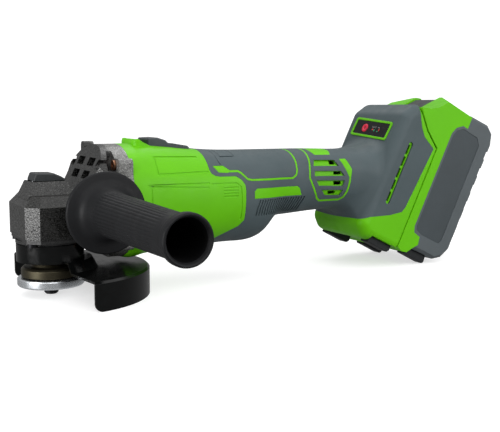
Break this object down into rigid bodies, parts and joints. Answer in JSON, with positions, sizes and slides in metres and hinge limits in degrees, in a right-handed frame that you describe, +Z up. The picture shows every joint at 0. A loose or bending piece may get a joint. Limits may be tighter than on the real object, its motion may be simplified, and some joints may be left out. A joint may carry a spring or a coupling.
{
  "type": "cordless angle grinder",
  "caption": "Cordless angle grinder with a bevel gear head, half-round wheel guard, screw-in side handle, slide switch, soft grip and a slide-on battery pack.",
  "frame": {"origin": "on the spindle axis at floor level, the end of the spindle nose being just above it", "axes": "+X back along the motor and grip to the battery, +Y away from the side handle, +Z up along the spindle"},
  "size_m": [0.3893, 0.2362, 0.1352],
  "materials": {
    "green_plastic": "moulded lime green plastic, satin",
    "grey_rubber": "soft blue-grey overmould, fine grain",
    "dark_cast": "dark hammered paint on die casting, speckled",
    "bearing_cast": "cast aluminium, dark satin",
    "black_plastic": "matte black plastic",
    "black_paint": "gloss black paint on pressed steel",
    "steel": "ground steel",
    "dark_steel": "blackened steel",
    "zinc": "zinc plated, bright",
    "bronze": "bronze-brown plating",
    "screw_copper": "yellow-copper plated screws",
    "laminations": "stacked electrical steel",
    "magnet": "nickel plated magnets",
    "copper": "enamelled copper wire",
    "fan_plastic": "glass-filled black nylon",
    "button_grey": "dark grey plastic, satin",
    "switch_black": "black plastic, fine grain",
    "panel_green": "lime green plastic frame",
    "panel_face": "gloss black face",
    "lamp": "clear lamp windows, unlit",
    "red_button": "button with a red ring",
    "pcb": "circuit board",
    "contact": "plated copper contacts",
    "pack_green": "moulded lime green plastic",
    "pack_grey": "grey plastic, satin",
    "pack_panel": "dark grey panel, bare",
    "cell_sleeve": "shrink-sleeved cells",
    "bumper": "dark rubber"
  },
  "bodies": {
    "tool_body": {"gear_case": "dark_cast", "gear_case_screws": "screw_copper", "bearing_plate": "bearing_cast", "bearing_plate_screws": "dark_steel", "spindle_bearing": "steel", "motor_front_bearing": "steel", "motor_rear_bearing": "steel", "spindle_bush": "bronze", "air_baffle": "black_plastic", "stator_core": "laminations", "stator_windings": "copper", "lock_spring": "steel", "microswitch": "black_plastic", "control_panel_frame": "panel_green", "control_panel_face": "panel_face", "panel_lamps": "lamp", "controller_tray": "laminations", "controller_board": "pcb", "terminal_block": "black_plastic", "terminal_blades": "contact", "foot_pad": "bumper", "shell_screws": "dark_steel", "motor_housing": "green_plastic", "handle_shell_left": "green_plastic", "handle_shell_right": "green_plastic", "grip_cover_left": "grey_rubber", "grip_cover_right": "grey_rubber"},
    "spindle_set": {"spindle": "dark_steel", "bevel_gear": "steel", "inner_flange": "bronze", "clamp_nut": "zinc"},
    "rotor_set": {"rotor_shaft": "steel", "rotor_core": "laminations", "rotor_magnets": "magnet", "cooling_fan": "fan_plastic", "bevel_pinion": "steel"},
    "lock_set": {"lock_button": "button_grey", "lock_pin": "steel"},
    "switch_set": {"slide_switch": "switch_black", "switch_rod": "black_plastic"},
    "speed_button_set": {"speed_button": "red_button"},
    "guard_set": {"guard": "black_paint", "guard_collar": "black_paint", "guard_clamp_screw": "dark_steel", "guard_clamp_nut": "dark_steel"},
    "handle_set": {"side_handle_grip": "black_plastic", "side_handle_stud": "zinc"},
    "battery_set": {"battery_upper_case": "pack_green", "battery_lower_case": "pack_grey", "battery_side_panels": "pack_panel", "battery_cells": "cell_sleeve", "cell_holders": "black_plastic", "battery_board": "pcb", "battery_contacts": "contact", "battery_bumper": "bumper"},
    "release_set": {"release_button": "button_grey"}
  },
  "joints": [
    {"name": "spindle_spin", "type": "hinge", "parent": "tool_body", "child": "spindle_set", "pos_m": [0, 0, 0.03], "axis": [0, 0, 1], "continuous": true},
    {"name": "rotor_spin", "type": "hinge", "parent": "tool_body", "child": "rotor_set", "pos_m": [0.08, 0, 0.06185], "axis": [1, 0, 0], "continuous": true},
    {"name": "lock_press", "type": "slide", "parent": "tool_body", "child": "lock_set", "axis": [0, 0, -1], "range_m": [0, 0.0038], "stiffness_N_per_m": 1500, "springref_m": -0.002, "deforming": ["lock_spring"]},
    {"name": "switch_slide", "type": "slide", "parent": "tool_body", "child": "switch_set", "axis": [-1, 0, 0], "range_m": [0, 0.008]},
    {"name": "speed_press", "type": "slide", "parent": "tool_body", "child": "speed_button_set", "axis": [0.8988, 0, -0.4384], "range_m": [0, 0.0008], "stiffness_N_per_m": 2000, "springref_m": -0.0006},
    {"name": "guard_turn", "type": "hinge", "parent": "tool_body", "child": "guard_set", "pos_m": [0, 0, 0.03], "axis": [0, 0, 1], "range_deg": [-10, 110]},
    {"name": "handle_unscrew", "type": "slide", "parent": "tool_body", "child": "handle_set", "axis": [0, -1, 0], "range_m": [0, 0.014]},
    {"name": "battery_slide", "type": "slide", "parent": "tool_body", "child": "battery_set", "axis": [0.4384, 0, 0.8988], "range_m": [0, 0.1]},
    {"name": "release_press", "type": "slide", "parent": "battery_set", "child": "release_set", "axis": [0.3256, 0, -0.9455], "range_m": [0, 0.0025], "stiffness_N_per_m": 1500, "springref_m": -0.002}
  ],
  "couplings": [
    {"joint": "rotor_spin", "follows": "spindle_spin", "ratio": 3.5}
  ]
}
